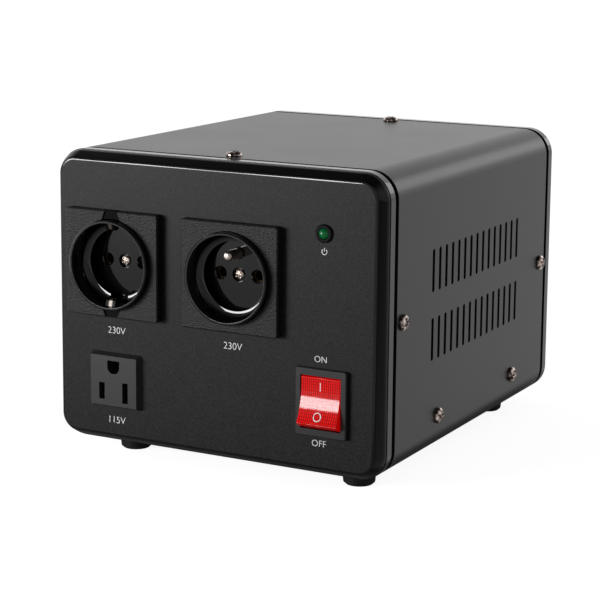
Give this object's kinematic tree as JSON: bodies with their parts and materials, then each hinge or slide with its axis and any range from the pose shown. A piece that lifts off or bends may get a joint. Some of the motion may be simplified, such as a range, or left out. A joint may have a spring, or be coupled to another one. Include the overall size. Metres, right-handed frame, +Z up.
{
  "type": "travel voltage converter",
  "caption": "Table voltage converter in a vented steel case, with round and flat-blade outlets, lit rocker switch, signal lamp, mains inlet and resettable breaker.",
  "frame": {"origin": "on the table, under the middle of the whole object", "axes": "+Z up; the front panel faces -Y; +X is to the right seen from the front"},
  "size_m": [0.177, 0.222, 0.147],
  "materials": {
    "frame_plastic": "fine grain",
    "cover_paint": "satin",
    "base_paint": "satin",
    "foot_rubber": "satin",
    "screw_steel": "blackened",
    "plate_plastic": "satin",
    "well_plastic": "satin",
    "contact_plastic": "plain",
    "contact_brass": "plain",
    "earth_nickel": "nickel plated",
    "outlet_plastic": "satin",
    "switch_plastic": "satin",
    "rocker_red": "translucent",
    "glow_glass": "clear",
    "lamp_nickel": "polished",
    "lamp_green": "translucent",
    "inlet_plastic": "satin",
    "breaker_plastic": "satin",
    "breaker_white": "satin",
    "bright_steel": "zinc plated",
    "core_steel": "laminated, varnished",
    "bobbin_nylon": "plain",
    "winding_tape": "copper wire under tape"
  },
  "bodies": {
    "case": {"front_bezel": "frame_plastic", "rear_bezel": "frame_plastic", "cover": "cover_paint", "base_plate": "base_paint", "foot_front_left": "foot_rubber", "foot_front_right": "foot_rubber", "foot_rear_left": "foot_rubber", "foot_rear_right": "foot_rubber", "foot_screws": "screw_steel", "top_cover_screws": "screw_steel", "right_cover_screws": "screw_steel", "left_cover_screws": "screw_steel", "left_socket_plate": "plate_plastic", "right_socket_plate": "plate_plastic", "left_clip_guards": "plate_plastic", "left_socket_well": "well_plastic", "right_socket_well": "well_plastic", "left_contact_base": "contact_plastic", "right_contact_base": "contact_plastic", "left_contact_sleeves": "contact_brass", "right_contact_sleeves": "contact_brass", "left_socket_screw": "screw_steel", "right_socket_screw": "screw_steel", "left_earth_strap": "earth_nickel", "right_earth_pin": "earth_nickel", "outlet_body": "outlet_plastic", "outlet_contacts": "contact_brass", "switch_housing": "switch_plastic", "switch_terminals": "contact_brass", "switch_glow_lamp": "glow_glass", "lamp_collar": "lamp_nickel", "signal_lamp": "lamp_green", "inlet_body": "inlet_plastic", "inlet_pins": "earth_nickel", "inlet_screws": "bright_steel", "breaker_body": "breaker_plastic", "breaker_nut": "bright_steel", "breaker_terminals": "contact_brass", "transformer_core": "core_steel", "transformer_bobbin": "bobbin_nylon", "primary_winding": "winding_tape", "secondary_winding": "winding_tape", "transformer_bracket_front": "bright_steel", "transformer_bracket_rear": "bright_steel", "core_bolts": "bright_steel", "bracket_screws": "bright_steel", "earth_stud": "contact_brass"},
    "rocker": {"switch_rocker": "rocker_red"},
    "button": {"breaker_button": "breaker_white"}
  },
  "joints": [
    {"name": "rocker_tilt", "type": "hinge", "parent": "case", "child": "rocker", "pos_m": [0.0571, -0.102, 0.041], "axis": [1, 0, 0], "range_deg": [0, 25]},
    {"name": "breaker_reset", "type": "slide", "parent": "case", "child": "button", "axis": [0, 1, 0], "range_m": [0, 0.004]}
  ]
}
